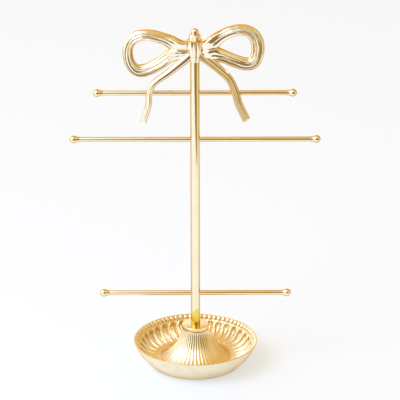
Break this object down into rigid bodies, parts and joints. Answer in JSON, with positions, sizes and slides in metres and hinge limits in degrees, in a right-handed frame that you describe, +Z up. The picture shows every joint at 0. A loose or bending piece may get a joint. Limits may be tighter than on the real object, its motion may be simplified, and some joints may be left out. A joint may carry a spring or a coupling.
{
  "type": "jewellery stand",
  "caption": "Gold necklace tree: a dish with a beaded rim and a fluted cone carries a post with ball-ended crossbars, topped by a ribbon bow under a cap nut.",
  "frame": {"origin": "on the table, at the centre of the felt pad's underside, below the post's axis", "axes": "+Z up along the post, X along the crossbars, the bow's tails hang on the -Y side"},
  "size_m": [0.25, 0.1264, 0.3646],
  "materials": {
    "polished_gold": "polished",
    "cast_gold": "satin cast",
    "bow_gold": "cast and polished",
    "steel_hardware": "zinc plated",
    "felt": "felt"
  },
  "bodies": {
    "base": {"felt_pad": "felt", "dish": "cast_gold", "bead_border": "cast_gold", "fluted_cone": "cast_gold", "post_collar": "polished_gold", "base_washer": "steel_hardware"},
    "tree": {"post": "polished_gold", "base_stud": "steel_hardware", "base_nut": "steel_hardware", "top_stud": "steel_hardware", "top_bar": "polished_gold", "top_bar_left_ball": "polished_gold", "top_bar_right_ball": "polished_gold", "middle_bar": "polished_gold", "middle_bar_left_ball": "polished_gold", "middle_bar_right_ball": "polished_gold", "bottom_bar": "polished_gold", "bottom_bar_left_ball": "polished_gold", "bottom_bar_right_ball": "polished_gold"},
    "bow": {"bow_knot": "bow_gold", "bow_left_loop": "bow_gold", "bow_right_loop": "bow_gold", "bow_left_tail": "bow_gold", "bow_right_tail": "bow_gold"},
    "cap": {"cap_nut": "polished_gold"}
  },
  "joints": [
    {"name": "tree_turn", "type": "hinge", "parent": "base", "child": "tree", "pos_m": [0, 0, 0.042], "axis": [0, 0, 1], "continuous": true},
    {"name": "bow_swivel", "type": "hinge", "parent": "tree", "child": "bow", "pos_m": [0, 0, 0.326], "axis": [0, 0, 1], "range_deg": [-5.8, 6.2]},
    {"name": "cap_nut_turn", "type": "hinge", "parent": "tree", "child": "cap", "pos_m": [0, 0, 0.3476], "axis": [0, 0, 1], "continuous": true}
  ]
}
